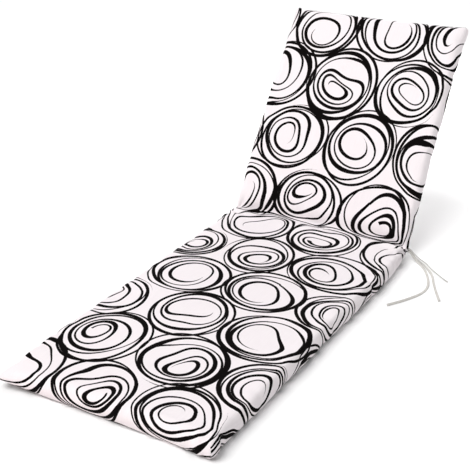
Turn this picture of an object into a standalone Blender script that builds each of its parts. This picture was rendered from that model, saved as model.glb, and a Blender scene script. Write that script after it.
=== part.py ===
"""Sun lounger cushion: one long filled pad, bent where the seat meets the back, with three ties.

Metres, +Z up. The seat lies on the ground along +Y, its foot end first, and the back rises beyond
the crease. The origin is on the ground, under the middle of the pad.
"""

import math

import bmesh
import bpy
from mathutils import Vector

# The pad. Lengths run along its face.
WIDTH = 0.600
HALF_WIDTH = WIDTH / 2
SEAT_LENGTH = 1.157
BACK_LENGTH = 0.739
LENGTH = SEAT_LENGTH + BACK_LENGTH
THICKNESS = 0.059
CROWN = 0.004
FOOT_Y = -0.805

# The back is steeper just above the bend than at the head end, where it leans over a little.
SLOPE_LOW = math.radians(57.0)
SLOPE_HIGH = math.radians(51.5)
BACK_RADIUS = BACK_LENGTH / (SLOPE_LOW - SLOPE_HIGH)

# The pad turns over this stretch on each side of the crease.
BEND_REACH = 0.062

# At the crease the face sinks, and the filling that it pushes aside stands up beside it.
CREASE_SINK = 0.013
CREASE_HALF_WIDTH = 0.014
CREASE_DEEPER_AT_SIDES = 0.5
CREASE_SWELL = 0.004
SWELL_PLACE = 0.050
SWELL_SPREAD = 0.028

# The foot end and the head end are drawn in between their corners.
END_DRAWN_IN = 0.006

# The sides are drawn in and pinched at the crease's two ends, where the ties pull on the seam.
WAIST = 0.006
WAIST_PINCH = 0.30
WAIST_SPREAD = 0.030

# How far each side stands out from a straight one, at places along the pad.
OUTLINE = (
    {"along": 0.00, "left": 0.003, "right": -0.003},
    {"along": 0.25, "left": 0.002, "right": 0.006},
    {"along": 0.65, "left": 0.002, "right": 0.013},
    {"along": 0.88, "left": 0.003, "right": 0.022},
    {"along": 1.06, "left": 0.003, "right": 0.022},
    {"along": 1.25, "left": 0.006, "right": 0.006},
    {"along": 1.55, "left": 0.006, "right": 0.003},
    {"along": LENGTH, "left": 0.002, "right": 0.000},
)

# The filling is a little fuller in some places than in others.
UNEVEN = 0.0015
UNEVEN_LENGTH = 0.31
UNEVEN_WIDTH = 0.23
UNEVEN_SKEW = 1.9

# The cage: rows near each end, rows around the crease, even rows between them, and the lines
# that run along one half of the face, measured in from the side.
END_ROWS = (0.016, 0.060)
CREASE_ROWS = (-0.088, -0.052, -0.023, 0.0, 0.023, 0.052, 0.088)
ROW_PITCH = 0.050
LINES_FROM_SIDE = (0.016, 0.058, 0.155)

# The cage's three levels, and the wall between them: where each level's edge stands, in from
# the outline and up from the ground. The seam runs round the pad at the middle level.
UNDERSIDE = 0.0
SEAM = 0.5
FACE = 1.0
WALL = {
    UNDERSIDE: {"inset": 0.003, "height": 0.002},
    SEAM: {"inset": -0.005, "height": 0.029},
    FACE: {"inset": 0.003, "height": 0.0575},
}

# Each corner: which side and end it is at, how much of its thickness is pinched flat, and how
# far its tip stands out.
CORNERS = (
    {"corner": "foot left", "side": -1, "along": 0.0, "pinch": 0.80, "tip": 0.014},
    {"corner": "foot right", "side": 1, "along": 0.0, "pinch": 0.12, "tip": 0.006},
    {"corner": "head left", "side": -1, "along": LENGTH, "pinch": 0.30, "tip": 0.004},
    {"corner": "head right", "side": 1, "along": LENGTH, "pinch": 0.25, "tip": 0.004},
)
CORNER_SPREAD = 0.045

# The sewing gathers the walls into soft puckers, one at every other row, some of them fuller.
PUCKER = 0.0021
PUCKER_FULLER = 0.0014
PUCKER_BEAT = 1.9

# The ties: narrow soft tape. Each route starts at the side seam on the right, beside the crease,
# drops to the ground and lies there. Points are from the middle of the pad's width, from the
# foot end and from the ground.
TIE_THICKNESS = 0.007
TIE_HEIGHT = TIE_THICKNESS / 2 + 0.0003
TIE_STEP = 0.016
ROUTES = {
    "tie_far": (
        (0.3073, 1.1902, 0.0318),
        (0.3153, 1.1931, 0.0289),
        (0.3250, 1.1950, 0.0205),
        (0.3370, 1.1955, 0.0100),
        (0.3540, 1.1905, TIE_HEIGHT),
        (0.3740, 1.1780, TIE_HEIGHT),
        (0.3920, 1.1600, TIE_HEIGHT),
        (0.4160, 1.1360, TIE_HEIGHT),
        (0.4480, 1.1100, TIE_HEIGHT),
        (0.4780, 1.0880, TIE_HEIGHT),
    ),
    "tie_middle": (
        (0.3100, 1.1817, 0.0308),
        (0.3180, 1.1846, 0.0279),
        (0.3275, 1.1860, 0.0195),
        (0.3390, 1.1855, 0.0095),
        (0.3540, 1.1790, TIE_HEIGHT),
        (0.3710, 1.1660, TIE_HEIGHT),
        (0.3890, 1.1480, TIE_HEIGHT),
        (0.4080, 1.1260, TIE_HEIGHT),
        (0.4270, 1.0960, TIE_HEIGHT),
        (0.4450, 1.0560, TIE_HEIGHT),
        (0.4680, 1.0100, TIE_HEIGHT),
        (0.4960, 0.9600, TIE_HEIGHT),
    ),
    "tie_near": (
        (0.3121, 1.1731, 0.0299),
        (0.3209, 1.1748, 0.0280),
        (0.3300, 1.1765, 0.0190),
        (0.3405, 1.1750, 0.0090),
        (0.3530, 1.1670, TIE_HEIGHT),
        (0.3680, 1.1530, TIE_HEIGHT),
        (0.3860, 1.1330, TIE_HEIGHT),
        (0.4020, 1.1090, TIE_HEIGHT),
        (0.4180, 1.0790, TIE_HEIGHT),
        (0.4320, 1.0430, TIE_HEIGHT),
        (0.4370, 1.0080, TIE_HEIGHT),
        (0.4320, 0.9740, TIE_HEIGHT),
        (0.4190, 0.9400, TIE_HEIGHT),
        (0.4040, 0.9100, TIE_HEIGHT),
        (0.3880, 0.8840, TIE_HEIGHT),
        (0.3730, 0.8610, TIE_HEIGHT),
    ),
}

COVER_COLOUR = (0.90, 0.87, 0.88, 1.0)
COVER_ROUGHNESS = 0.85
TAPE_COLOUR = (0.80, 0.78, 0.74, 1.0)
TAPE_ROUGHNESS = 0.90

# Places closer together than this are the same.
SAME = 1e-6


def hill(distance, spread):
    """1 at no distance, falling smoothly to nothing over about two spreads."""
    return math.exp(-((distance / spread) ** 2))


def smooth_step(share):
    """0 below 0, 1 above 1, and an even S between."""
    share = min(max(share, 0.0), 1.0)
    return share * share * (3.0 - 2.0 * share)


def evenly(start, end, pitch):
    """Places from start to end, both left out, about one pitch apart."""
    gaps = round((end - start) / pitch)
    return [start + (end - start) * number / gaps for number in range(1, gaps)]


def cage_rows():
    """The distance of each row of the cage from the foot end, the two ends left out."""
    near_crease = [SEAT_LENGTH + offset for offset in CREASE_ROWS]
    near_head = [LENGTH - offset for offset in reversed(END_ROWS)]
    return [
        *END_ROWS,
        *evenly(END_ROWS[-1], near_crease[0], ROW_PITCH),
        *near_crease,
        *evenly(near_crease[-1], near_head[0], ROW_PITCH),
        *near_head,
    ]


def cage_lines():
    """The place of each lengthwise line of the cage, from the middle of the width."""
    right = [HALF_WIDTH - inset for inset in LINES_FROM_SIDE]
    return [-line for line in right] + [0.0] + right


def face_place(along):
    """Where the flat face would be at a distance along it, as (y, z), and its slope there."""
    past = along - SEAT_LENGTH
    if past <= 0.0:
        return along, THICKNESS, 0.0
    slope = SLOPE_LOW - past / BACK_RADIUS
    y = SEAT_LENGTH + BACK_RADIUS * (math.sin(SLOPE_LOW) - math.sin(slope))
    z = THICKNESS + BACK_RADIUS * (math.cos(slope) - math.cos(SLOPE_LOW))
    return y, z, slope


def lean(along):
    """How far the slice through the pad leans back: none on the seat, all of the back's slope
    beyond the bend."""
    past = along - SEAT_LENGTH
    turn = smooth_step((past + BEND_REACH) / (2 * BEND_REACH))
    return turn * (SLOPE_LOW - max(past, 0.0) / BACK_RADIUS)


def corner_pull(side, along):
    """How strongly each corner pulls on a spot, as pairs of the corner and a share."""
    pulls = []
    for corner in CORNERS:
        away = math.hypot(side - corner["side"] * HALF_WIDTH, along - corner["along"])
        pulls.append((corner, hill(away, CORNER_SPREAD)))
    return pulls


def outline(along, side):
    """How far the side stands out there, read between the rows of the outline's table."""
    column = "right" if side > 0.0 else "left"
    for start, end in zip(OUTLINE, OUTLINE[1:]):
        if along <= end["along"]:
            break
    share = (along - start["along"]) / (end["along"] - start["along"])
    return start[column] + (end[column] - start[column]) * share


def crease_relief(across, along):
    """How far the face stands out, or sinks, near the crease."""
    past = along - SEAT_LENGTH
    swell = CREASE_SWELL * hill(abs(past) - SWELL_PLACE, SWELL_SPREAD)
    deeper = 1.0 + CREASE_DEEPER_AT_SIDES * (across / HALF_WIDTH) ** 4
    return swell - CREASE_SINK * deeper * hill(past, CREASE_HALF_WIDTH)


def unevenness(across, along):
    """The slow rise and fall of the filling, none of it at the sides."""
    wave = math.sin(2 * math.pi * along / UNEVEN_LENGTH)
    wave *= math.cos(2 * math.pi * across / UNEVEN_WIDTH + UNEVEN_SKEW * along)
    return UNEVEN * wave * (1.0 - (across / HALF_WIDTH) ** 2)


def placed(across, along, height):
    """A point of the bent pad from its place on the pad when that lies flat."""
    y, z, _ = face_place(along)
    tilt = lean(along)
    rise = height - THICKNESS
    return Vector((across, FOOT_Y + y - rise * math.sin(tilt), z + rise * math.cos(tilt)))


def shaped(across, along, level, pucker):
    """Where a corner of the cut block goes."""
    on_side = abs(abs(across) - HALF_WIDTH) < SAME
    on_end = along < SAME or along > LENGTH - SAME
    pulls = corner_pull(across, along)
    waist = hill(along - SEAT_LENGTH, WAIST_SPREAD)
    side = math.copysign(1.0, across)
    out = -WALL[level]["inset"]

    if on_side or on_end:
        height = WALL[level]["height"]
    else:
        height = level * (THICKNESS + CROWN * (1.0 - (across / HALF_WIDTH) ** 2))
    if level == FACE:
        height += unevenness(across, along) + crease_relief(across, along)

    seam = WALL[SEAM]["height"]
    for corner, pull in pulls:
        height += (seam - height) * corner["pinch"] * pull
    if on_side:
        height += (seam - height) * WAIST_PINCH * waist
        out += pucker - WAIST * waist
    tip = sum(corner["tip"] * pull for corner, pull in pulls)
    if on_side:
        across = side * (HALF_WIDTH + out + tip)
    across += side * outline(along, side) * abs(across) / HALF_WIDTH
    if on_end:
        out -= END_DRAWN_IN * (1.0 - (across / HALF_WIDTH) ** 2)
        along += (out + tip) * (1.0 if along > SEAT_LENGTH else -1.0)
    return placed(across, along, height)


def cut_block(rows, lines):
    """A block of the pad's width and length, one unit high, cut along the cage's rows and lines
    and at the seam."""
    block = bmesh.new()
    bmesh.ops.create_cube(block, size=1.0)
    bmesh.ops.scale(block, vec=(WIDTH, LENGTH, 1.0), verts=block.verts)
    bmesh.ops.translate(block, vec=(0.0, LENGTH / 2, SEAM), verts=block.verts)
    cuts = [(Vector((0.0, row, 0.0)), Vector((0.0, 1.0, 0.0))) for row in rows]
    cuts += [(Vector((line, 0.0, 0.0)), Vector((1.0, 0.0, 0.0))) for line in lines]
    cuts.append((Vector((0.0, 0.0, SEAM)), Vector((0.0, 0.0, 1.0))))
    for place, direction in cuts:
        everything = block.verts[:] + block.edges[:] + block.faces[:]
        bmesh.ops.bisect_plane(block, geom=everything, plane_co=place, plane_no=direction)
    return block


def make_cushion(collection, material):
    """The filled pad, from a coarse cage that one subdivision rounds off."""
    rows = cage_rows()
    block = cut_block(rows, cage_lines())
    for vertex in block.verts:
        across, along, level = vertex.co
        number = min(range(len(rows)), key=lambda index: abs(rows[index] - along))
        depth = PUCKER + PUCKER_FULLER * math.sin(PUCKER_BEAT * number)
        vertex.co = shaped(across, along, round(level, 1), depth * (-1) ** number)
    bmesh.ops.recalc_face_normals(block, faces=block.faces)
    mesh = bpy.data.meshes.new("cushion")
    block.to_mesh(mesh)
    block.free()
    mesh.materials.append(material)
    mesh.shade_smooth()

    cushion = bpy.data.objects.new("cushion", mesh)
    collection.objects.link(cushion)
    rounding = cushion.modifiers.new("rounding", "SUBSURF")
    rounding.levels = 1
    rounding.render_levels = 1
    return cushion


def smooth_route(points, step):
    """Points about one step apart on a smooth curve through the given ones."""
    knots = [Vector(point) for point in points]
    ends = [2 * knots[0] - knots[1], *knots, 2 * knots[-1] - knots[-2]]
    route = []
    for before, start, end, after in zip(ends, ends[1:], ends[2:], ends[3:]):
        pieces = max(1, round((end - start).length / step))
        for piece in range(pieces):
            t = piece / pieces
            route.append(
                0.5
                * (
                    2 * start
                    + (end - before) * t
                    + (2 * before - 5 * start + 4 * end - after) * t**2
                    + (3 * start - before - 3 * end + after) * t**3
                )
            )
    route.append(knots[-1])
    return route


def make_tie(collection, name, points, material):
    """One strand of tape, from the seam to its free end."""
    curve = bpy.data.curves.new(name, "CURVE")
    curve.dimensions = "3D"
    curve.bevel_depth = TIE_THICKNESS / 2
    curve.bevel_resolution = 2
    curve.use_fill_caps = True
    curve.materials.append(material)

    route = smooth_route(points, TIE_STEP)
    spline = curve.splines.new("POLY")
    spline.points.add(len(route) - 1)
    for point, place in zip(spline.points, route):
        point.co = (place.x, place.y + FOOT_Y, place.z, 1.0)

    tie = bpy.data.objects.new(name, curve)
    collection.objects.link(tie)
    return tie


def make_material(name, colour, roughness):
    """A plain cloth finish."""
    material = bpy.data.materials.new(name)
    material.use_nodes = True
    shader = material.node_tree.nodes["Principled BSDF"]
    shader.inputs["Base Color"].default_value = colour
    shader.inputs["Roughness"].default_value = roughness
    shader.inputs["Metallic"].default_value = 0.0
    return material


def main():
    for leftover in list(bpy.data.objects):
        bpy.data.objects.remove(leftover, do_unlink=True)
    collection = bpy.data.collections.new("sun_lounger_cushion")
    bpy.context.scene.collection.children.link(collection)

    cover = make_material("printed_cover", COVER_COLOUR, COVER_ROUGHNESS)
    make_cushion(collection, cover)
    for name, points in ROUTES.items():
        tape = make_material(f"{name}_tape", TAPE_COLOUR, TAPE_ROUGHNESS)
        make_tie(collection, name, points, tape)


main()
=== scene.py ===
import math
import random

import bmesh
import bpy
import numpy as np
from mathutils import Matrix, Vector


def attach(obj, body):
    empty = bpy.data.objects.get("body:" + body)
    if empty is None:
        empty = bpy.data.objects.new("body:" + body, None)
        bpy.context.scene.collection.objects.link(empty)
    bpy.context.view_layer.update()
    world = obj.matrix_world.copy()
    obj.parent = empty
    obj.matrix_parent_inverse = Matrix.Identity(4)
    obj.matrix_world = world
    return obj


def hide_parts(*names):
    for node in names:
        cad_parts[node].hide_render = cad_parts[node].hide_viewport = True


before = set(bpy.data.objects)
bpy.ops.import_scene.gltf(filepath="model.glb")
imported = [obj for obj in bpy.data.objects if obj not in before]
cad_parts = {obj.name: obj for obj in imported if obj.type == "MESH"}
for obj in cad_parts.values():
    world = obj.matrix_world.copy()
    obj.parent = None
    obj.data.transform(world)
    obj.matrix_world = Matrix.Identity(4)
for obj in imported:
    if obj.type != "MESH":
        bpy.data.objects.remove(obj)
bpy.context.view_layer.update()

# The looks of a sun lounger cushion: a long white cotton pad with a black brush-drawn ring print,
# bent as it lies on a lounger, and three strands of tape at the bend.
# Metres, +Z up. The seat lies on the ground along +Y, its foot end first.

# The pad's sizes, as it is cut and sewn. Lengths run along its face.
WIDTH = 0.600
HALF_WIDTH = WIDTH / 2
SEAT_LENGTH = 1.157
BACK_LENGTH = 0.739
LENGTH = SEAT_LENGTH + BACK_LENGTH
THICKNESS = 0.059
CROWN = 0.004
FOOT_Y = -0.805

# The back's slope above the bend and at the head end, and how far the turn reaches from the crease.
SLOPE_LOW = math.radians(57.0)
SLOPE_HIGH = math.radians(51.5)
BACK_RADIUS = BACK_LENGTH / (SLOPE_LOW - SLOPE_HIGH)
BEND_REACH = 0.062

# The crease across the face.
CREASE_SINK = 0.013
CREASE_HALF_WIDTH = 0.014
CREASE_DEEPER_AT_SIDES = 0.5
CREASE_SWELL = 0.004
SWELL_PLACE = 0.050
SWELL_SPREAD = 0.028

# How the sewing draws the ends and the waist in.
END_DRAWN_IN = 0.006
WAIST = 0.006
WAIST_PINCH = 0.30
WAIST_SPREAD = 0.030

# How far each side stands out from a straight one, at places along the pad.
OUTLINE = (
    {"along": 0.00, "left": 0.003, "right": -0.003},
    {"along": 0.25, "left": 0.002, "right": 0.006},
    {"along": 0.65, "left": 0.002, "right": 0.013},
    {"along": 0.88, "left": 0.003, "right": 0.022},
    {"along": 1.06, "left": 0.003, "right": 0.022},
    {"along": 1.25, "left": 0.006, "right": 0.006},
    {"along": 1.55, "left": 0.006, "right": 0.003},
    {"along": LENGTH, "left": 0.002, "right": 0.000},
)

# The slow rise and fall of the filling.
UNEVEN = 0.0015
UNEVEN_LENGTH = 0.31
UNEVEN_WIDTH = 0.23
UNEVEN_SKEW = 1.9

# The cage that the pad is shaped on.
END_ROWS = (0.016, 0.060)
CREASE_ROWS = (-0.088, -0.052, -0.023, 0.0, 0.023, 0.052, 0.088)
ROW_PITCH = 0.050
LINES_FROM_SIDE = (0.016, 0.058, 0.155)
CAGE_ROUNDING = 3

# The cage's three levels: where each level's edge stands, in from the outline and up from the
# ground.
UNDERSIDE = 0.0
SEAM = 0.5
FACE = 1.0
WALL = {
    UNDERSIDE: {"inset": 0.003, "height": 0.002},
    SEAM: {"inset": -0.005, "height": 0.029},
    FACE: {"inset": 0.003, "height": 0.0575},
}

# Each corner: how much of its thickness is pinched flat, and how far its tip stands out.
CORNERS = (
    {"corner": "foot left", "side": -1, "along": 0.0, "pinch": 0.80, "tip": 0.014},
    {"corner": "foot right", "side": 1, "along": 0.0, "pinch": 0.12, "tip": 0.006},
    {"corner": "head left", "side": -1, "along": LENGTH, "pinch": 0.30, "tip": 0.004},
    {"corner": "head right", "side": 1, "along": LENGTH, "pinch": 0.25, "tip": 0.004},
)
CORNER_SPREAD = 0.045

# The soft puckers that the sewing gathers the walls into.
PUCKER = 0.0021
PUCKER_FULLER = 0.0014
PUCKER_BEAT = 1.9

# Distances smaller than this are none.
SAME = 1e-6

# The ties: narrow soft tape. The routes are those of the solids, measured from the middle of the
# pad's width, from the foot end and from the ground.
TAPE_WIDTH = 0.0075
TAPE_THICKNESS = 0.0018
# A quarter of the tape cut across, from its selvedge to its middle: shares of its half width and
# of its half thickness.
TAPE_PROFILE = ((0.97, 0.45), (0.80, 1.00), (0.40, 0.80), (0.00, 0.70))
TIE_HEIGHT = 0.0038
TIE_STEP = 0.006
ROUTES = {
    "tie_far": (
        (0.3073, 1.1902, 0.0318),
        (0.3153, 1.1931, 0.0289),
        (0.3250, 1.1950, 0.0205),
        (0.3370, 1.1955, 0.0100),
        (0.3540, 1.1905, TIE_HEIGHT),
        (0.3740, 1.1780, TIE_HEIGHT),
        (0.3920, 1.1600, TIE_HEIGHT),
        (0.4160, 1.1360, TIE_HEIGHT),
        (0.4480, 1.1100, TIE_HEIGHT),
        (0.4780, 1.0880, TIE_HEIGHT),
    ),
    "tie_middle": (
        (0.3100, 1.1817, 0.0308),
        (0.3180, 1.1846, 0.0279),
        (0.3275, 1.1860, 0.0195),
        (0.3390, 1.1855, 0.0095),
        (0.3540, 1.1790, TIE_HEIGHT),
        (0.3710, 1.1660, TIE_HEIGHT),
        (0.3890, 1.1480, TIE_HEIGHT),
        (0.4080, 1.1260, TIE_HEIGHT),
        (0.4270, 1.0960, TIE_HEIGHT),
        (0.4450, 1.0560, TIE_HEIGHT),
        (0.4680, 1.0100, TIE_HEIGHT),
        (0.4960, 0.9600, TIE_HEIGHT),
    ),
    "tie_near": (
        (0.3121, 1.1731, 0.0299),
        (0.3209, 1.1748, 0.0280),
        (0.3300, 1.1765, 0.0190),
        (0.3405, 1.1750, 0.0090),
        (0.3530, 1.1670, TIE_HEIGHT),
        (0.3680, 1.1530, TIE_HEIGHT),
        (0.3860, 1.1330, TIE_HEIGHT),
        (0.4020, 1.1090, TIE_HEIGHT),
        (0.4180, 1.0790, TIE_HEIGHT),
        (0.4320, 1.0430, TIE_HEIGHT),
        (0.4370, 1.0080, TIE_HEIGHT),
        (0.4320, 0.9740, TIE_HEIGHT),
        (0.4190, 0.9400, TIE_HEIGHT),
        (0.4040, 0.9100, TIE_HEIGHT),
        (0.3880, 0.8840, TIE_HEIGHT),
        (0.3730, 0.8610, TIE_HEIGHT),
    ),
}
# How far each strand rolls over on its way, how slowly, and how far one strand's roll is ahead of
# the last one's.
TAPE_ROLL = math.radians(48.0)
TAPE_ROLL_PITCH = 0.085
TAPE_ROLL_AHEAD = 1.7
# The tape's lowest edge stays this far above the ground.
TAPE_CLEARANCE = 0.0004

# The view: the picture is 470 pixels square.
PICTURE_WIDTH = 470
FOCAL_PIXELS = 972.1
SENSOR_WIDTH = 36.0
CAMERA_PLACE = (1.2186, -1.4888 + FOOT_Y, 1.3886)
CAMERA_TURN = 0.5225
CAMERA_DIP = 0.4411

# The floor: a plain sheet far wider than the view.
FLOOR_SIZE = 60.0
FLOOR_ROUGHNESS = 0.9

# The light: how bright the white walls are, and the wide light's power, spread and direction.
WALLS = 0.42
WIDE_LIGHT = 2.38
WIDE_LIGHT_SPREAD = math.radians(44.0)
WIDE_LIGHT_FROM = (-0.24, -0.42, 0.87)
# Two smaller soft boxes: one whitens the floor behind the raised back, and one, low and warm,
# reaches the end wall at the foot.
SOFT_BOXES = (
    {
        "name": "floor_light",
        "place": (-0.20, 2.40, 0.95),
        "aim": (0.65, 0.90, 0.00),
        "size": 1.4,
        "power": 30.0,
        "colour": "#ffffff",
    },
    {
        "name": "foot_light",
        "place": (-0.75, -2.20, 0.30),
        "aim": (-0.15, -0.80, 0.03),
        "size": 0.6,
        "power": 2.0,
        "colour": "#ff9c78",
    },
)


def make_camera():
    """The camera at the height, distance and angle that the pad's outline asks for."""
    data = bpy.data.cameras.new("camera")
    data.sensor_width = SENSOR_WIDTH
    data.lens = FOCAL_PIXELS / PICTURE_WIDTH * SENSOR_WIDTH
    camera = bpy.data.objects.new("camera", data)
    camera.location = CAMERA_PLACE
    camera.rotation_euler = (math.pi / 2 - CAMERA_DIP, 0.0, CAMERA_TURN)
    bpy.context.scene.collection.objects.link(camera)
    bpy.context.scene.camera = camera


def linear(hex_colour):
    """An sRGB hex colour as linear red, green, blue and alpha."""
    shares = [int(hex_colour[place : place + 2], 16) / 255 for place in (1, 3, 5)]
    return (*[s / 12.92 if s <= 0.04045 else ((s + 0.055) / 1.055) ** 2.4 for s in shares], 1.0)


# The kinds of node that the print and the weave are worked out with.
NUMBER = "ShaderNodeMath"
VECTOR = "ShaderNodeVectorMath"
PARTS = "ShaderNodeSeparateXYZ"
JOINED = "ShaderNodeCombineXYZ"
BLEND = "ShaderNodeMix"
# The output at which a blend gives its colour.
BLENDED = 2


def add(tree, kind, inputs, **settings):
    """Adds a node. Its inputs come in their order or by name: values, or outputs to link from."""
    node = tree.nodes.new(kind)
    for name, value in settings.items():
        setattr(node, name, value)
    named = inputs if isinstance(inputs, dict) else dict(enumerate(inputs))
    for key, value in named.items():
        if isinstance(value, bpy.types.NodeSocket):
            tree.links.new(value, node.inputs[key])
        else:
            node.inputs[key].default_value = value
    return node.outputs[0]


def new_material(name):
    """An empty material, as its node tree and its shader."""
    material = bpy.data.materials.new(name)
    material.use_nodes = True
    return material, material.node_tree, material.node_tree.nodes["Principled BSDF"]


def hill(distance, spread):
    """1 at no distance, falling smoothly to nothing over about two spreads. It takes one distance
    or many at once."""
    return np.exp(-((distance / spread) ** 2))


def smooth_step(share):
    """0 below 0, 1 above 1, and an even S between."""
    share = np.clip(share, 0.0, 1.0)
    return share * share * (3.0 - 2.0 * share)


def smooth_route(points, step):
    """Points about one step apart on a smooth curve through the given ones."""
    knots = [Vector(point) for point in points]
    ends = [2 * knots[0] - knots[1], *knots, 2 * knots[-1] - knots[-2]]
    route = []
    for before, start, end, after in zip(ends, ends[1:], ends[2:], ends[3:]):
        pieces = max(1, round((end - start).length / step))
        for piece in range(pieces):
            t = piece / pieces
            route.append(
                0.5
                * (
                    2 * start
                    + (end - before) * t
                    + (2 * before - 5 * start + 4 * end - after) * t**2
                    + (3 * start - before - 3 * end + after) * t**3
                )
            )
    route.append(knots[-1])
    return route


def tape_section():
    """The tape cut across: flat, with round selvedges and a little thicker along its edges."""
    top = [(TAPE_WIDTH / 2 * out, TAPE_THICKNESS / 2 * up) for out, up in TAPE_PROFILE]
    across = top + [(-a, b) for a, b in reversed(top[:-1])]
    return across + [(-a, -b) for a, b in across]


def tape_stations(route, roll_start):
    """The tape's middle at each point of its route, and the ways its width and thickness run."""
    run = 0.0
    stations = []
    for number, place in enumerate(route):
        before = route[max(number - 1, 0)]
        after = route[min(number + 1, len(route) - 1)]
        run += (place - before).length
        ahead = (after - before).normalized()
        beside = ahead.cross(Vector((0.0, 0.0, 1.0))).normalized()
        above = beside.cross(ahead)
        roll = TAPE_ROLL * math.sin(run / TAPE_ROLL_PITCH + roll_start)
        flat = math.cos(roll) * beside + math.sin(roll) * above
        thick = math.cos(roll) * above - math.sin(roll) * beside
        reach = abs(flat.z) * TAPE_WIDTH / 2 + abs(thick.z) * TAPE_THICKNESS / 2
        middle = place.copy()
        if place.z < TIE_HEIGHT + SAME:
            middle.z = reach + TAPE_CLEARANCE
        stations.append((middle, flat, thick))
    return stations


def tape_mesh(name, stations):
    """The tape's closed mesh with its cloth map, a ring of points at each station."""
    tape = bmesh.new()
    rings = []
    for middle, flat, thick in stations:
        rings.append([tape.verts.new(middle + flat * a + thick * b) for a, b in tape_section()])
    cloth = tape.loops.layers.uv.new("cloth")
    for number, (ring, following) in enumerate(zip(rings, rings[1:])):
        for here, beyond in zip(range(len(ring)), [*range(1, len(ring)), 0]):
            face = tape.faces.new((ring[here], ring[beyond], following[beyond], following[here]))
            for loop, (side, step) in zip(face.loops, ((0, 0), (1, 0), (1, 1), (0, 1))):
                round_it = (here + side) * 2 * TAPE_WIDTH / len(ring)
                loop[cloth].uv = (round_it, (number + step) * TIE_STEP)
    tape.faces.new(reversed(rings[0]))
    tape.faces.new(rings[-1])
    bmesh.ops.recalc_face_normals(tape, faces=tape.faces)
    mesh = bpy.data.meshes.new(name)
    tape.to_mesh(mesh)
    tape.free()
    mesh.shade_smooth()
    return mesh


def make_tie(name, points, roll_start, material):
    """One strand of tape, from the side seam to its cut end."""
    route = [place + Vector((0.0, FOOT_Y, 0.0)) for place in smooth_route(points, TIE_STEP)]
    stations = tape_stations(route, roll_start)
    mesh = tape_mesh(name, stations)
    mesh.materials.append(material)
    piece = bpy.data.objects.new(f"{name}_tape", mesh)
    bpy.context.scene.collection.objects.link(piece)
    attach(piece, "root")
    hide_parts(name)


def evenly(start, end, pitch):
    """Places from start to end, both left out, about one pitch apart."""
    gaps = round((end - start) / pitch)
    return [start + (end - start) * number / gaps for number in range(1, gaps)]


def cage_rows():
    """The distance of each row of the cage from the foot end, the two ends left out."""
    near_crease = [SEAT_LENGTH + offset for offset in CREASE_ROWS]
    near_head = [LENGTH - offset for offset in reversed(END_ROWS)]
    return [
        *END_ROWS,
        *evenly(END_ROWS[-1], near_crease[0], ROW_PITCH),
        *near_crease,
        *evenly(near_crease[-1], near_head[0], ROW_PITCH),
        *near_head,
    ]


def cage_lines():
    """The place of each lengthwise line of the cage, from the middle of the width."""
    right = [HALF_WIDTH - inset for inset in LINES_FROM_SIDE]
    return [-line for line in right] + [0.0] + right


def face_place(along):
    """Where the flat face would be at a distance along it, as (y, z)."""
    past = along - SEAT_LENGTH
    if past <= 0.0:
        return along, THICKNESS
    slope = SLOPE_LOW - past / BACK_RADIUS
    y = SEAT_LENGTH + BACK_RADIUS * (math.sin(SLOPE_LOW) - math.sin(slope))
    z = THICKNESS + BACK_RADIUS * (math.cos(slope) - math.cos(SLOPE_LOW))
    return y, z


def lean(along):
    """How far the slice through the pad leans back."""
    past = along - SEAT_LENGTH
    turn = smooth_step((past + BEND_REACH) / (2 * BEND_REACH))
    return turn * (SLOPE_LOW - max(past, 0.0) / BACK_RADIUS)


def corner_pull(side, along):
    """How strongly each corner pulls on a spot, as pairs of the corner and a share."""
    pulls = []
    for corner in CORNERS:
        away = math.hypot(side - corner["side"] * HALF_WIDTH, along - corner["along"])
        pulls.append((corner, hill(away, CORNER_SPREAD)))
    return pulls


def outline(along, side):
    """How far the side stands out there, read between the rows of the outline's table."""
    column = "right" if side > 0.0 else "left"
    for start, end in zip(OUTLINE, OUTLINE[1:]):
        if along <= end["along"]:
            break
    share = (along - start["along"]) / (end["along"] - start["along"])
    return start[column] + (end[column] - start[column]) * share


def crease_relief(across, along):
    """How far the face stands out, or sinks, near the crease."""
    past = along - SEAT_LENGTH
    swell = CREASE_SWELL * hill(abs(past) - SWELL_PLACE, SWELL_SPREAD)
    deeper = 1.0 + CREASE_DEEPER_AT_SIDES * (across / HALF_WIDTH) ** 4
    return swell - CREASE_SINK * deeper * hill(past, CREASE_HALF_WIDTH)


def unevenness(across, along):
    """The slow rise and fall of the filling, none of it at the sides."""
    wave = math.sin(2 * math.pi * along / UNEVEN_LENGTH)
    wave *= math.cos(2 * math.pi * across / UNEVEN_WIDTH + UNEVEN_SKEW * along)
    return UNEVEN * wave * (1.0 - (across / HALF_WIDTH) ** 2)


def placed(across, along, height):
    """A point of the bent pad from its place on the pad when that lies flat."""
    y, z = face_place(along)
    tilt = lean(along)
    rise = height - THICKNESS
    return Vector((across, FOOT_Y + y - rise * math.sin(tilt), z + rise * math.cos(tilt)))


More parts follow.
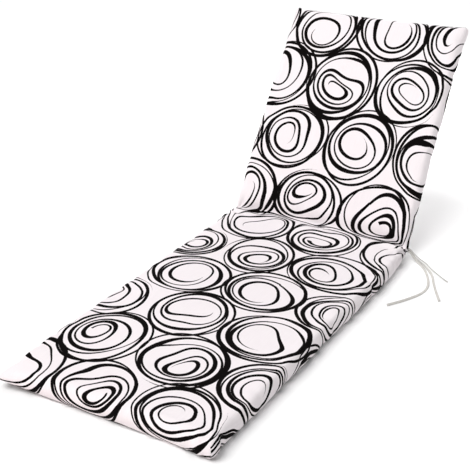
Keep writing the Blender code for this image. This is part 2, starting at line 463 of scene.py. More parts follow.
def shaped(across, along, level, pucker):
    """Where a corner of the cut block goes."""
    on_side = abs(abs(across) - HALF_WIDTH) < SAME
    on_end = along < SAME or along > LENGTH - SAME
    pulls = corner_pull(across, along)
    waist = hill(along - SEAT_LENGTH, WAIST_SPREAD)
    side = math.copysign(1.0, across)
    out = -WALL[level]["inset"]

    if on_side or on_end:
        height = WALL[level]["height"]
    else:
        height = level * (THICKNESS + CROWN * (1.0 - (across / HALF_WIDTH) ** 2))
    if level == FACE:
        height += unevenness(across, along) + crease_relief(across, along)

    seam = WALL[SEAM]["height"]
    for corner, pull in pulls:
        height += (seam - height) * corner["pinch"] * pull
    if on_side:
        height += (seam - height) * WAIST_PINCH * waist
        out += pucker - WAIST * waist
    tip = sum(corner["tip"] * pull for corner, pull in pulls)
    if on_side:
        across = side * (HALF_WIDTH + out + tip)
    across += side * outline(along, side) * abs(across) / HALF_WIDTH
    if on_end:
        out -= END_DRAWN_IN * (1.0 - (across / HALF_WIDTH) ** 2)
        along += (out + tip) * (1.0 if along > SEAT_LENGTH else -1.0)
    return placed(across, along, height)


# How the cover is cut. The upper panel runs over the face, down all the walls and a little way
# under. The lower panel is the rest of the underside, cut from elsewhere on the same cloth. Both
# are measured on the flat cloth.
LOWER_PANEL_SHIFT = (0.47, 0.29)
WALL_DROP = 0.058


def cloth_place(corners):
    """The place on the flat cloth of each corner of one of the block's faces."""
    across = [corner.x for corner in corners]
    along = [corner.y for corner in corners]
    if all(corner.z == UNDERSIDE for corner in corners):
        if max(abs(x) for x in across) > HALF_WIDTH - SAME:
            under = 2 * HALF_WIDTH + WALL_DROP
            return [(math.copysign(under - abs(c.x), c.x), c.y) for c in corners]
        if min(along) < SAME:
            return [(c.x, -WALL_DROP - c.y) for c in corners]
        if max(along) > LENGTH - SAME:
            return [(c.x, 2 * LENGTH + WALL_DROP - c.y) for c in corners]
        return [(c.x + LOWER_PANEL_SHIFT[0], c.y + LOWER_PANEL_SHIFT[1]) for c in corners]
    drops = [WALL_DROP * (FACE - corner.z) for corner in corners]
    if max(across) - min(across) < SAME:
        return [(c.x + math.copysign(drop, c.x), c.y) for c, drop in zip(corners, drops)]
    if max(along) - min(along) < SAME:
        outward = 1.0 if along[0] > SEAT_LENGTH else -1.0
        return [(c.x, c.y + outward * drop) for c, drop in zip(corners, drops)]
    return [(c.x, c.y) for c in corners]


def cut_block(rows, lines):
    """A block of the pad's width and length, one unit high, cut along the cage's rows and lines
    and at the seam."""
    block = bmesh.new()
    bmesh.ops.create_cube(block, size=1.0)
    bmesh.ops.scale(block, vec=(WIDTH, LENGTH, 1.0), verts=block.verts)
    bmesh.ops.translate(block, vec=(0.0, LENGTH / 2, SEAM), verts=block.verts)
    cuts = [(Vector((0.0, row, 0.0)), Vector((0.0, 1.0, 0.0))) for row in rows]
    cuts += [(Vector((line, 0.0, 0.0)), Vector((1.0, 0.0, 0.0))) for line in lines]
    cuts.append((Vector((0.0, 0.0, SEAM)), Vector((0.0, 0.0, 1.0))))
    for place, direction in cuts:
        everything = block.verts[:] + block.edges[:] + block.faces[:]
        bmesh.ops.bisect_plane(block, geom=everything, plane_co=place, plane_no=direction)
    return block


def shape_pad():
    """The pad's fine mesh, with its cloth map and each point's place on the flat pad."""
    rows = cage_rows()
    block = cut_block(rows, cage_lines())
    # The cut's height may be a hair off, and the table of levels needs it exact.
    for vertex in block.verts:
        vertex.co.z = round(vertex.co.z, 1)
    bmesh.ops.recalc_face_normals(block, faces=block.faces)
    cloth = block.loops.layers.uv.new("cloth")
    for face in block.faces:
        places = cloth_place([loop.vert.co for loop in face.loops])
        for loop, place in zip(face.loops, places):
            loop[cloth].uv = place
    keeps = [block.verts.layers.float.new(name) for name in ("across", "along", "level")]
    for vertex in block.verts:
        across, along, level = vertex.co
        for keep, value in zip(keeps, (across, along, level)):
            vertex[keep] = value
        number = min(range(len(rows)), key=lambda index: abs(rows[index] - along))
        depth = PUCKER + PUCKER_FULLER * math.sin(PUCKER_BEAT * number)
        vertex.co = shaped(across, along, level, depth * (-1) ** number)
    mesh = bpy.data.meshes.new("pad_cage")
    block.to_mesh(mesh)
    block.free()

    pad = bpy.data.objects.new("pad_cage", mesh)
    bpy.context.scene.collection.objects.link(pad)
    rounding = pad.modifiers.new("rounding", "SUBSURF")
    rounding.levels = CAGE_ROUNDING
    rounding.render_levels = CAGE_ROUNDING
    evaluated = pad.evaluated_get(bpy.context.evaluated_depsgraph_get())
    fine = bpy.data.meshes.new_from_object(evaluated)
    bpy.data.objects.remove(pad)
    bpy.data.meshes.remove(mesh)
    return fine


# Where the sewing gathers the cover, along each side: how far apart the troughs are and how deep.
GATHER_ZONES = (
    {"start": 0.050, "end": 0.880, "apart": (0.048, 0.085), "depth": (0.0016, 0.0038)},
    {"start": 0.880, "end": 1.135, "apart": (0.034, 0.052), "depth": (0.0026, 0.0048)},
    {"start": 1.195, "end": 1.860, "apart": (0.050, 0.095), "depth": (0.0008, 0.0020)},
)
TROUGH_WIDTH = (0.010, 0.016)
TROUGH_REACH = (0.025, 0.060)
TROUGH_SLANT = 0.25
# Near the lower edge a trough is shallower, and it runs only a little way under.
TROUGH_AT_EDGE = 0.3
TROUGH_FADE = 0.3
TROUGH_UNDER = 0.010
# The cloth stands out a little between its gathers, near the sides.
SIDE_SWELL = 0.0016
SIDE_SWELL_REACH = 0.035
# How much more cloth a trough takes up than a smooth wall would.
TROUGH_TAKE_UP = 0.5
# How much cloth the crease takes up on each side of it, and how near to it.
CREASE_TAKE_UP = 0.020
CREASE_TAKE_WIDTH = 0.012

# The seam that joins the upper panel to the lower one, a little way in under the pad.
SEAM_DRAW = 0.0016
SEAM_INSET = END_ROWS[0]
SEAM_SPREAD = 0.003

# Where the crease draws a fold of the face in: its place across, how deep and how wide.
TUCKS = (
    {"across": -0.205, "depth": 0.006, "spread": 0.026},
    {"across": 0.012, "depth": 0.008, "spread": 0.030},
    {"across": 0.285, "depth": 0.004, "spread": 0.022},
)
TUCK_TAKE_UP = 0.8
TUCK_FOLDS = 5
TUCK_FOLD_DEPTH = 0.0022
TUCK_FOLD_REACH = 0.055

# At both ends of the bend the side is crumpled: folds run out from a spot near where the ties
# start. The spot is this far round the side from its lower edge, and this far towards the foot.
BEND_SPOT_ROUND = 0.045
BEND_SPOT_BACK = 0.030
BEND_FOLDS = 9
BEND_FOLD_DEPTH = 0.0110
BEND_FOLD_REACH = 0.050
# The cloth is drawn together there, most of all at the spot itself.
BEND_TAKE_UP = 1.8
BEND_TAKE_REACH = 0.032
BEND_TAKE_SPREAD = 0.14

# The foot's right corner is gathered round its end, as a fan of folds about a point inside it,
# and the cloth is drawn together there.
FAN_INSET = 0.060
FAN_FOLDS = 11
FAN_DEPTH = 0.0022
FAN_REACH = 0.020
FAN_SHARPNESS = 4
FAN_TAKE_UP = 0.9
FAN_TAKE_WIDTH = 0.050

# A flat fold runs from the foot's pinched left corner along the top of the end wall.
FOLD_LEVEL = 0.62
FOLD_HALF_HEIGHT = 0.16
FOLD_DEPTH = 0.0045
FOLD_LENGTH = 0.150
FOLD_REACH = 0.012


def vertex_values(mesh, name):
    """One named value of every vertex."""
    values = np.empty(len(mesh.vertices), np.float32)
    mesh.attributes[name].data.foreach_get("value", values)
    return values.astype(float)


def vertex_places(mesh):
    """The place of every vertex."""
    places = np.empty(3 * len(mesh.vertices), np.float32)
    mesh.vertices.foreach_get("co", places)
    return places.reshape(-1, 3)


def set_vertex_places(mesh, places):
    """Moves every vertex to its new place, and none of them below the ground."""
    places[:, 2] = np.maximum(places[:, 2], 0.0)
    mesh.vertices.foreach_set("co", places.ravel().astype(np.float32))
    mesh.update()


def side_troughs(side, seed):
    """The troughs along one side."""
    chance = random.Random(seed)
    troughs = []
    for zone in GATHER_ZONES:
        along = zone["start"]
        while along < zone["end"]:
            troughs.append(
                {
                    "side": side,
                    "along": along,
                    "depth": chance.uniform(*zone["depth"]),
                    "width": chance.uniform(*TROUGH_WIDTH),
                    "reach": chance.uniform(*TROUGH_REACH),
                    "slant": chance.uniform(-TROUGH_SLANT, TROUGH_SLANT),
                }
            )
            along += chance.uniform(*zone["apart"])
    return troughs


def add_side_gathers(across, along, level, relief, taken):
    """Adds the troughs of both sides, and the swell between them."""
    inward = HALF_WIDTH - np.abs(across)
    fullness = TROUGH_AT_EDGE + (1.0 - TROUGH_AT_EDGE) * np.clip(level / TROUGH_FADE, 0.0, 1.0)
    fullness = np.where(level < SAME, TROUGH_AT_EDGE * hill(inward, TROUGH_UNDER), fullness)
    from_ends = np.clip(np.minimum(along, LENGTH - along) / SIDE_SWELL_REACH, 0.0, 1.0)
    relief += SIDE_SWELL * hill(inward, SIDE_SWELL_REACH) * fullness * from_ends
    for trough in side_troughs(-1, seed=5) + side_troughs(1, seed=8):
        fade = hill(inward, trough["reach"]) * fullness * (np.sign(across) == trough["side"])
        beside = along - trough["along"] - trough["slant"] * inward
        wide = trough["width"] * (1.0 + inward / trough["reach"])
        share = fade * hill(beside, wide)
        relief -= trough["depth"] * share
        taken[:, 1] += TROUGH_TAKE_UP * beside * share


def add_under_seam(across, along, level, relief, taken):
    """Adds the line of the seam under the pad, which takes up no cloth."""
    inward = HALF_WIDTH - np.abs(across)
    from_edge = np.minimum(inward, np.minimum(along, LENGTH - along))
    relief -= SEAM_DRAW * hill(from_edge - SEAM_INSET, SEAM_SPREAD) * (level < SAME)


def add_tucks(across, along, level, relief, taken):
    """Adds what the crease takes up, its tucks and the folds that fan out from them."""
    past = along - SEAT_LENGTH
    face = np.clip(2.0 * level - 1.0, 0.0, 1.0)
    taken[:, 1] += CREASE_TAKE_UP * np.tanh(past / CREASE_TAKE_WIDTH)
    for tuck in TUCKS:
        beside = across - tuck["across"]
        away = np.hypot(beside, past)
        share = hill(away, tuck["spread"]) * face
        relief -= tuck["depth"] * share
        taken += TUCK_TAKE_UP * share[:, None] * np.stack([beside, past], axis=1)
        folds = np.cos(TUCK_FOLDS * np.arctan2(past, beside)) * (away / TUCK_FOLD_REACH)
        relief += TUCK_FOLD_DEPTH * folds * hill(away, TUCK_FOLD_REACH) * face


def add_bend_folds(across, along, level, relief, taken):
    """Adds the crumpled cloth at both ends of the bend."""
    above = HALF_WIDTH - np.abs(across) + level * THICKNESS - BEND_SPOT_ROUND
    ahead = along - SEAT_LENGTH + BEND_SPOT_BACK
    away = np.hypot(ahead, above)
    folds = np.sin(BEND_FOLDS * np.arctan2(above, ahead)) * away / BEND_FOLD_REACH
    relief += BEND_FOLD_DEPTH * folds * hill(away, BEND_FOLD_REACH) * level
    share = level * hill(away, BEND_TAKE_SPREAD) / (1.0 + (away / BEND_TAKE_REACH) ** 2)
    taken[:, 0] -= BEND_TAKE_UP * np.sign(across) * above * share
    taken[:, 1] += BEND_TAKE_UP * ahead * share


def add_foot_folds(across, along, level, relief, taken):
    """Adds the fan at the foot's right corner and the flat fold at its left one. The fan takes up
    its cloth in draw_in_fan."""
    from_corner = across - HALF_WIDTH + FAN_INSET
    bearing = np.arctan2(along - FAN_INSET, from_corner)
    away = np.hypot(along - FAN_INSET, from_corner)
    at_corner = 0.5 - 0.5 * np.tanh((along + HALF_WIDTH - across - FAN_INSET) / FAN_REACH)
    fan = np.clip(away / FAN_INSET, 0.0, 1.0) ** FAN_SHARPNESS * at_corner * (level >= SAME)
    relief += FAN_DEPTH * np.cos(FAN_FOLDS * bearing) * fan
    on_foot = hill(along, FOLD_REACH) * hill(level - FOLD_LEVEL, FOLD_HALF_HEIGHT)
    along_fold = np.clip(1.0 - (across + HALF_WIDTH) / FOLD_LENGTH, 0.0, 1.0)
    relief -= FOLD_DEPTH * on_foot * along_fold


def draw_in_fan(cloth):
    """The cloth's places, drawn together round the foot's right corner."""
    beside = cloth - np.array([HALF_WIDTH, 0.0])
    share = hill(np.linalg.norm(beside, axis=1), FAN_TAKE_WIDTH)
    return cloth + FAN_TAKE_UP * beside * share[:, None]


def gather(mesh):
    """Draws the cover in where it is sewn, and takes the print with it."""
    flat = [vertex_values(mesh, name) for name in ("across", "along", "level")]
    relief = np.zeros(len(mesh.vertices))
    taken = np.zeros((len(mesh.vertices), 2))
    forms = (add_side_gathers, add_under_seam, add_tucks, add_bend_folds, add_foot_folds)
    for add_form in forms:
        add_form(*flat, relief, taken)

    normals = np.empty(3 * len(mesh.vertices), np.float32)
    mesh.vertex_normals.foreach_get("vector", normals)
    set_vertex_places(mesh, vertex_places(mesh) + relief[:, None] * normals.reshape(-1, 3))

    corners = np.empty(len(mesh.loops), np.int32)
    cloth = np.empty(2 * len(mesh.loops), np.float32)
    mesh.loops.foreach_get("vertex_index", corners)
    mesh.uv_layers["cloth"].data.foreach_get("uv", cloth)
    cloth = draw_in_fan(cloth.reshape(-1, 2) + taken[corners])
    mesh.uv_layers["cloth"].data.foreach_set("uv", cloth.ravel().astype(np.float32))


# The cover's own way of settling on its filling: a cloth simulation with the filling's push, the
# middle of each face held, and a little more cloth near the sides than they need.
SETTLE_FRAMES = 20
SETTLE_PUSH = 2.0
SETTLE_CLOTH = {
    "quality": 6,
    "mass": 0.3,
    "tension_stiffness": 15.0,
    "compression_stiffness": 10.0,
    "shear_stiffness": 5.0,
    "bending_stiffness": 0.2,
    "air_damping": 2.0,
}
SPARE_CLOTH = 0.040
LOOSE_REACH = 0.055
LOOSE_LEVEL = 0.12
LOOSE_FROM = 0.60
MOST_MOVED = 0.006


def looseness(mesh):
    """How free each vertex is to move: 1 at the sides, 0 in the middle of the face and under it."""
    across, along, level = (vertex_values(mesh, name) for name in ("across", "along", "level"))
    inward = np.minimum(HALF_WIDTH - np.abs(across), np.minimum(along, LENGTH - along))
    near_side = smooth_step(1.0 - inward / LOOSE_REACH)
    return near_side * np.clip(level / LOOSE_LEVEL, 0.0, 1.0)


def simulated_places(cushion):
    """The place of every vertex once the cloth simulation has run."""
    held = cushion.vertex_groups.new(name="held")
    spare = cushion.vertex_groups.new(name="spare")
    for number, share in enumerate(looseness(cushion.data).tolist()):
        held.add([number], max(0.0, 1.0 - share / LOOSE_FROM), "REPLACE")
        spare.add([number], share, "REPLACE")

    simulation = cushion.modifiers.new("settle", "CLOTH")
    cloth = simulation.settings
    for setting, value in SETTLE_CLOTH.items():
        setattr(cloth, setting, value)
    cloth.vertex_group_mass = "held"
    cloth.vertex_group_shrink = "spare"
    cloth.shrink_min = 0.0
    cloth.shrink_max = -SPARE_CLOTH
    cloth.use_pressure = True
    cloth.uniform_pressure_force = SETTLE_PUSH
    cloth.effector_weights.gravity = 0.0
    simulation.collision_settings.use_collision = False
    simulation.point_cache.frame_start = 1
    simulation.point_cache.frame_end = SETTLE_FRAMES
    for frame_number in range(1, SETTLE_FRAMES + 1):
        bpy.context.scene.frame_set(frame_number)

    evaluated = cushion.evaluated_get(bpy.context.evaluated_depsgraph_get())
    places = vertex_places(evaluated.data)
    cushion.modifiers.remove(simulation)
    cushion.vertex_groups.clear()
    bpy.context.scene.frame_set(1)
    return places


def settle(cushion):
    """Simulates the cover near its sides, and moves its points there no further than the cap."""
    before = vertex_places(cushion.data)
    moved = simulated_places(cushion) - before
    distance = np.linalg.norm(moved, axis=1)
    moved *= np.minimum(1.0, MOST_MOVED / np.maximum(distance, SAME))[:, None]
    set_vertex_places(cushion.data, before + moved)


def make_cushion(material):
    """The filled pad in its cover."""
    mesh = shape_pad()
    gather(mesh)
    mesh.name = "cushion_cover"
    mesh.materials.clear()
    mesh.materials.append(material)
    mesh.shade_smooth()
    cushion = bpy.data.objects.new("cushion_cover", mesh)
    bpy.context.scene.collection.objects.link(cushion)
    settle(cushion)
    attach(cushion, "root")
    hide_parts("cushion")


# The print: brush-drawn rings that crowd each other, each one a single line that goes round and
# round and then in. Lengths are metres on the flat cloth; a ring's own sizes are shares of its
# radius.
RING_PITCH = 0.236
RING_RADIUS = 0.50 * RING_PITCH
RING_RADIUS_SPREAD = 0.040 * RING_PITCH
RING_STRAY = 0.030 * RING_PITCH
RING_SQUASH = 0.06
ROW_STEP = RING_PITCH * math.sqrt(3) / 2
# The rings stand on four grids of wide cells, so that no ring is cut off by its own cell.
GRIDS = (
    {"across": 0.07, "along": 0.02, "seed": 7.0},
    {"across": 0.07 + RING_PITCH, "along": 0.02, "seed": 22.0},
    {"across": 0.07 + RING_PITCH / 2, "along": 0.02 + ROW_STEP, "seed": 61.0},
    {"across": 0.07 + RING_PITCH * 3 / 2, "along": 0.02 + ROW_STEP, "seed": 83.0},
)
GRID_CELL = (2 * RING_PITCH, 2 * ROW_STEP, 1.0)
# Towards its middle each ring is drawn off to one side and squeezed to an oval, at the most by
# these shares of its radius.
DRAWN_OFF = 0.36
SQUEEZED = 0.42
# The brush keeps its width where the line is drawn off, down to this share of an even ring's pitch.
LEAST_EVEN = 0.30
# The line's turns, from the outermost in: how much of the ring's radius the line loses on the way
# round, and how far the hand sways and wobbles.
TURNS = (
    {"loses": 0.045, "sway": 0.052, "wobble": 0.022},
    {"loses": 0.080, "sway": 0.052, "wobble": 0.022},
    {"loses": 0.130, "sway": 0.046, "wobble": 0.020},
    {"loses": 0.185, "sway": 0.036, "wobble": 0.018},
    {"loses": 0.195, "sway": 0.030, "wobble": 0.016},
    {"loses": 0.130, "sway": 0.024, "wobble": 0.014},
)
LINE_STARTS = 0.990
SWAY_BEAT = 1.37
WOBBLE_BEAT = 2.21
# The brush: its width, how much that comes and goes, and how often.
PEN = 0.0078 / 2 / RING_RADIUS
PEN_SWELL = 0.0030 / 2 / RING_RADIUS
PEN_BEAT = 0.61
# The line ends after some turns, more in one ring than in another, and thins out there.
TURN = 2 * math.pi
LINE_END = TURN * 4.0
LINE_END_SPREAD = TURN * 1.8
LINE_TAPER = 1.5
EDGE_SOFTNESS = 0.0007
EDGE_ROUGHNESS = 0.0008
EDGE_GRAIN = 0.006


def ring_chances(tree, cell, seed):
    """Three draws of chance for each cell, each draw a vector."""
    noise = "ShaderNodeTexWhiteNoise"
    draws = []
    for draw in range(3):
        inputs = {"Vector": cell, "W": seed + draw}
        draws.append(add(tree, noise, inputs, noise_dimensions="4D").node.outputs["Color"])
    return draws


def ring_place(tree, cloth, grid):
    """The cell of a grid that a spot lies in, and the spot's place from the cell's middle."""
    start = (grid["across"], grid["along"], 0.0)
    shifted = add(tree, VECTOR, (cloth, start), operation="SUBTRACT")
    counted = add(tree, VECTOR, (shifted, GRID_CELL), operation="DIVIDE")
    cell = add(tree, VECTOR, (counted,), operation="FLOOR")
    share = add(tree, VECTOR, (counted,), operation="FRACTION")
    centred = add(tree, VECTOR, (share, (0.5, 0.5, 0.0)), operation="SUBTRACT")
    return cell, add(tree, VECTOR, (centred, GRID_CELL), operation="MULTIPLY")


def drawn_ring(tree, place, radius, chances):
    """The spot as it would lie on an even ring: the real one strays, is drawn off to a side and
    squeezed to an oval towards its middle, and is turned and sometimes mirrored. With it comes how
    much the drawing off widens what lies there."""
    first, second, third = chances
    turn, _, hand = add(tree, PARTS, (first,)).node.outputs
    reach = (2 * RING_STRAY, 2 * RING_STRAY, 0.0)
    least = (-RING_STRAY, -RING_STRAY, 0.0)
    around = add(tree, VECTOR, (second, reach, least), operation="MULTIPLY_ADD")
    around = add(tree, VECTOR, (around, place), operation="ADD")

    out = add(tree, VECTOR, (around,), operation="LENGTH").node.outputs["Value"]
    share = add(tree, NUMBER, (out, radius), operation="DIVIDE")
    squared = add(tree, NUMBER, (share, share), operation="MULTIPLY")
    depth = add(tree, NUMBER, (1.0, squared), operation="SUBTRACT", use_clamp=True)
    middle = add(tree, NUMBER, (depth, depth), operation="MULTIPLY")

    reach = (2 * DRAWN_OFF * RING_RADIUS,) * 2 + (0.0,)
    least = (-DRAWN_OFF * RING_RADIUS,) * 2 + (0.0,)
    pull = add(tree, VECTOR, (third, reach, least), operation="MULTIPLY_ADD")
    drawn = add(tree, VECTOR, (pull, middle, around), operation="MULTIPLY_ADD")
    # The slope of the middle's share, (1 - s * s) ** 2, is -4 s (1 - s * s).
    towards = add(tree, VECTOR, (pull, around), operation="DOT_PRODUCT").node.outputs["Value"]
    steep = add(tree, NUMBER, (depth, -4 / RING_RADIUS**2), operation="MULTIPLY")
    even = add(tree, NUMBER, (towards, steep, 1.0), operation="MULTIPLY_ADD")
    even = add(tree, NUMBER, (even, LEAST_EVEN), operation="MAXIMUM")
    angle = add(tree, NUMBER, (turn, TURN), operation="MULTIPLY")
    turned = add(
        tree,
        "ShaderNodeVectorRotate",
        {"Vector": drawn, "Angle": angle},
        rotation_type="Z_AXIS",
    )

    chance = add(tree, PARTS, (third,)).node.outputs[2]
    oval = add(tree, NUMBER, (chance, SQUEEZED), operation="MULTIPLY")
    oval = add(tree, NUMBER, (oval, middle), operation="MULTIPLY")
    wide = add(tree, NUMBER, (1 + RING_SQUASH, oval), operation="SUBTRACT")
    narrow = add(tree, NUMBER, (1 - RING_SQUASH, oval), operation="ADD")
    other_hand = add(tree, NUMBER, (hand, 0.5), operation="GREATER_THAN")
    mirror = add(tree, NUMBER, (other_hand, 2.0, -1.0), operation="MULTIPLY_ADD")
    narrow = add(tree, NUMBER, (narrow, mirror), operation="MULTIPLY")
    squash = add(tree, JOINED, (wide, narrow))
    return add(tree, VECTOR, (turned, squash), operation="MULTIPLY"), even


def ring_ink(tree, cloth, grid):
    """How far inside the line a spot is, in metres, for the rings of one grid."""
    cell, place = ring_place(tree, cloth, grid)
    chances = ring_chances(tree, cell, grid["seed"])
    size = add(tree, PARTS, (chances[0],)).node.outputs[1]
    sizes = (size, 2 * RING_RADIUS_SPREAD, RING_RADIUS - RING_RADIUS_SPREAD)
    radius = add(tree, NUMBER, sizes, operation="MULTIPLY_ADD")
    ring, even = drawn_ring(tree, place, radius, chances)

    across, along, _ = add(tree, PARTS, (ring,)).node.outputs
    out = add(tree, VECTOR, (ring,), operation="LENGTH").node.outputs["Value"]
    phases = add(tree, PARTS, (chances[1],)).node.outputs
    ends = (phases[0], LINE_END_SPREAD / LINE_TAPER, LINE_END / LINE_TAPER)
    spot = {
        "out": add(tree, NUMBER, (out, radius), operation="DIVIDE"),
        "even": even,
        "bearing": add(tree, NUMBER, (along, across), operation="ARCTAN2"),
        "end": add(tree, NUMBER, ends, operation="MULTIPLY_ADD"),
        "starts": [add(tree, NUMBER, (phase, TURN), operation="MULTIPLY") for phase in phases],
    }
    outer = three_turns_ink(tree, 0, spot)
    inner = three_turns_ink(tree, 3, spot)
    inks = add(tree, PARTS, (add(tree, VECTOR, (outer, inner), operation="MAXIMUM"),)).node.outputs
    ink = add(tree, NUMBER, (inks[0], inks[1]), operation="MAXIMUM")
    ink = add(tree, NUMBER, (ink, inks[2]), operation="MAXIMUM")
    return add(tree, NUMBER, (ink, radius), operation="MULTIPLY")


def three_turns_ink(tree, first, spot):
    """How far inside the line a spot is, for three turns side by side as X, Y and Z."""
    turns = TURNS[first : first + 3]
    lost_before = [sum(turn["loses"] for turn in TURNS[: first + place]) for place in range(3)]
    halfway = [LINE_STARTS - lost - turn["loses"] / 2 for lost, turn in zip(lost_before, turns)]
    losing = [-turn["loses"] / TURN for turn in turns]
    gone = [TURN * (first + place) for place in range(3)]
    run = add(tree, VECTOR, (spot["bearing"], gone), operation="ADD")
    waves = []
    for beat, start in zip((SWAY_BEAT, WOBBLE_BEAT, PEN_BEAT), spot["starts"]):
        phase = add(tree, VECTOR, (run, (beat,) * 3, start), operation="MULTIPLY_ADD")
        waves.append(add(tree, VECTOR, (phase,), operation="COSINE"))
    sway, wobble, swell = waves

    line = add(tree, VECTOR, (spot["bearing"], losing, halfway), operation="MULTIPLY_ADD")
    swaying = [turn["sway"] for turn in turns]
    line = add(tree, VECTOR, (sway, swaying, line), operation="MULTIPLY_ADD")
    wobbling = [turn["wobble"] for turn in turns]
    line = add(tree, VECTOR, (wobble, wobbling, line), operation="MULTIPLY_ADD")
    apart = add(tree, VECTOR, (line, spot["out"]), operation="SUBTRACT")
    apart = add(tree, VECTOR, (apart,), operation="ABSOLUTE")
    apart = add(tree, VECTOR, (apart, spot["even"]), operation="DIVIDE")

    pen = add(tree, VECTOR, (swell, (PEN_SWELL,) * 3, (PEN,) * 3), operation="MULTIPLY_ADD")
    faster = (1 / LINE_TAPER,) * 3
    started = (math.pi / LINE_TAPER,) * 3
    from_start = add(tree, VECTOR, (run, faster, started), operation="MULTIPLY_ADD")
    slower = (-1 / LINE_TAPER,) * 3
    to_end = add(tree, VECTOR, (run, slower, spot["end"]), operation="MULTIPLY_ADD")
    taper = add(tree, VECTOR, (from_start, to_end), operation="MINIMUM")
    taper = add(tree, VECTOR, (taper, (1.0, 1.0, 1.0)), operation="MINIMUM")
    half = add(tree, VECTOR, (pen, taper), operation="MULTIPLY")
    return add(tree, VECTOR, (half, apart), operation="SUBTRACT")


# The cloth: plain weave, its threads drawn about twice as coarse as real ones so as to show.
THREAD = 0.0012
THREAD_HEIGHT = 0.00018
THREAD_STRENGTH = 0.6
SLUB_LENGTH = 0.060
SLUB_WIDTH = 0.0016
COTTON_ROUGHNESS = 0.85
COTTON_SPECULAR = 0.03


def weave(tree, cloth):
    """The rise and fall of a plain weave, from -1 to 1."""
    scaled = add(tree, VECTOR, (cloth, (math.pi / THREAD,) * 3), operation="MULTIPLY")
    waves = add(tree, VECTOR, (scaled,), operation="SINE")
    across, along, _ = add(tree, PARTS, (waves,)).node.outputs
    return add(tree, NUMBER, (across, along), operation="MULTIPLY")


def slubs(tree, cloth):
    """Streaks where the yarns run thicker: from 0 to 1, along the cloth."""
    scale = (1 / SLUB_WIDTH, 1 / SLUB_LENGTH, 1.0)
    scaled = add(tree, VECTOR, (cloth, scale), operation="MULTIPLY")
    return add(tree, "ShaderNodeTexNoise", {"Vector": scaled, "Scale": 1.0, "Detail": 2.0})


def printed_cotton():
    """Plain woven cotton, white, screen printed in black: matt, with a fine thread all over, and
    black that sits a little rough at its edges where the ink met the yarns."""
    material, tree, shader = new_material("printed_cotton")
    cloth = add(tree, "ShaderNodeUVMap", (), uv_map="cloth")
    ink = ring_ink(tree, cloth, GRIDS[0])
    for grid in GRIDS[1:]:
        ink = add(tree, NUMBER, (ink, ring_ink(tree, cloth, grid)), operation="MAXIMUM")
    grain = {"Vector": cloth, "Scale": 1 / EDGE_GRAIN, "Detail": 3.0}
    grain = add(tree, "ShaderNodeTexNoise", grain)
    ink = add(tree, NUMBER, (grain, 2 * EDGE_ROUGHNESS, ink), operation="MULTIPLY_ADD")
    edge = (ink, 1 / EDGE_SOFTNESS, 0.5 - EDGE_ROUGHNESS / EDGE_SOFTNESS)
    inked = add(tree, NUMBER, edge, operation="MULTIPLY_ADD", use_clamp=True)

    streaks = slubs(tree, cloth)
    whites = {0: streaks, 6: linear("#ebe3e6"), 7: linear("#f4eef0")}
    white = add(tree, BLEND, whites, data_type="RGBA").node.outputs[BLENDED]
    blacks = {0: streaks, 6: linear("#080606"), 7: linear("#110e0e")}
    black = add(tree, BLEND, blacks, data_type="RGBA").node.outputs[BLENDED]
    both = {0: inked, 6: white, 7: black}
    colour = add(tree, BLEND, both, data_type="RGBA").node.outputs[BLENDED]
    tree.links.new(colour, shader.inputs["Base Color"])
    raised = weave(tree, cloth)
    threads = {"Height": raised, "Distance": THREAD_HEIGHT, "Strength": THREAD_STRENGTH}
    tree.links.new(add(tree, "ShaderNodeBump", threads), shader.inputs["Normal"])
    shader.inputs["Roughness"].default_value = COTTON_ROUGHNESS
    shader.inputs["Specular IOR Level"].default_value = COTTON_SPECULAR
    return material


# The tape's twill: ribs that run slantwise over it, drawn about three times as coarse as real
# ones so as to show.
RIB = 0.0022
RIB_HEIGHT = 0.0003
RIB_STRENGTH = 0.7
# A slanting wave of scale 1 has a rib this far from the next.
WAVE_SPAN = 2 * math.pi / 10 / math.sqrt(2)
# The size of the random patches in the tape's painted shade.
SHADE_PATCH_SIZE = 1 / 60
TAPE_ROUGHNESS = 0.9
TAPE_SPECULAR = 0.1


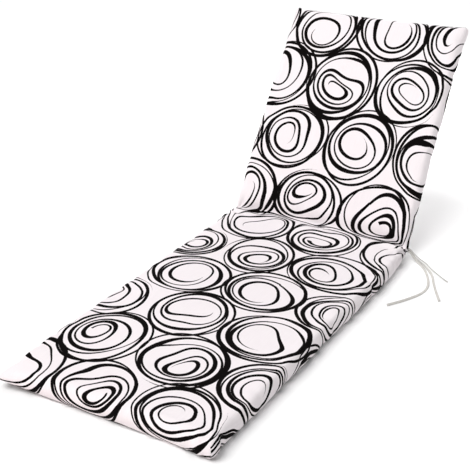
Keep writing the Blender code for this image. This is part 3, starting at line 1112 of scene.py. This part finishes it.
def cotton_tape():
    """Narrow cotton tape, twill woven: soft and matt, its slanting ribs just showing. Its colour is
    painted shade, greyer than the white tape, in random lighter and darker patches."""
    material, tree, shader = new_material("cotton_tape")
    cloth = add(tree, "ShaderNodeUVMap", (), uv_map="cloth")
    ribs = {"Vector": cloth, "Scale": WAVE_SPAN / RIB, "Distortion": 0.4, "Detail": 1.0}
    ribs = add(tree, "ShaderNodeTexWave", ribs, bands_direction="DIAGONAL")
    shade_patches = add(tree, "ShaderNodeTexNoise", {"Vector": cloth, "Scale": 1 / SHADE_PATCH_SIZE, "Detail": 2.0})
    # Both greys are painted shade, darker than the white tape. Random noise patches blend between
    # them.
    painted_shade_greys = {0: shade_patches, 6: linear("#b2afaa"), 7: linear("#d8d5d1")}
    colour = add(tree, BLEND, painted_shade_greys, data_type="RGBA").node.outputs[BLENDED]
    tree.links.new(colour, shader.inputs["Base Color"])
    twill = {"Height": ribs, "Distance": RIB_HEIGHT, "Strength": RIB_STRENGTH}
    tree.links.new(add(tree, "ShaderNodeBump", twill), shader.inputs["Normal"])
    shader.inputs["Roughness"].default_value = TAPE_ROUGHNESS
    shader.inputs["Specular IOR Level"].default_value = TAPE_SPECULAR
    return material


def make_floor():
    """A plain pale floor."""
    bpy.ops.mesh.primitive_plane_add(size=FLOOR_SIZE)
    floor = bpy.context.object
    floor.name = "floor"
    material, _, shader = new_material("pale_floor")
    shader.inputs["Base Color"].default_value = linear("#fbfbfb")
    shader.inputs["Roughness"].default_value = FLOOR_ROUGHNESS
    floor.data.materials.append(material)


def make_soft_box(name, place, aim, size, power, colour):
    """A square soft box that the camera doesn't see."""
    data = bpy.data.lights.new(name, "AREA")
    data.size = size
    data.energy = power
    data.color = linear(colour)[:3]
    box = bpy.data.objects.new(name, data)
    box.location = place
    box.rotation_euler = (Vector(place) - Vector(aim)).to_track_quat("Z", "Y").to_euler()
    box.visible_camera = False
    bpy.context.scene.collection.objects.link(box)


def light_studio():
    """White walls all round, a wide soft light from above the foot end's left, and two boxes."""
    world = bpy.data.worlds.new("studio")
    world.use_nodes = True
    world.node_tree.nodes["Background"].inputs["Color"].default_value = (1.0, 1.0, 1.0, 1.0)
    world.node_tree.nodes["Background"].inputs["Strength"].default_value = WALLS
    bpy.context.scene.world = world
    bpy.context.scene.view_settings.view_transform = "Standard"
    data = bpy.data.lights.new("wide_light", "SUN")
    data.energy = WIDE_LIGHT
    data.angle = WIDE_LIGHT_SPREAD
    light = bpy.data.objects.new("wide_light", data)
    light.rotation_euler = Vector(WIDE_LIGHT_FROM).to_track_quat("Z", "Y").to_euler()
    bpy.context.scene.collection.objects.link(light)
    for box in SOFT_BOXES:
        make_soft_box(**box)


def main():
    make_camera()
    tape = cotton_tape()
    for number, (name, points) in enumerate(ROUTES.items()):
        make_tie(name, points, TAPE_ROLL_AHEAD * number, tape)
    make_cushion(printed_cotton())
    make_floor()
    light_studio()


main()
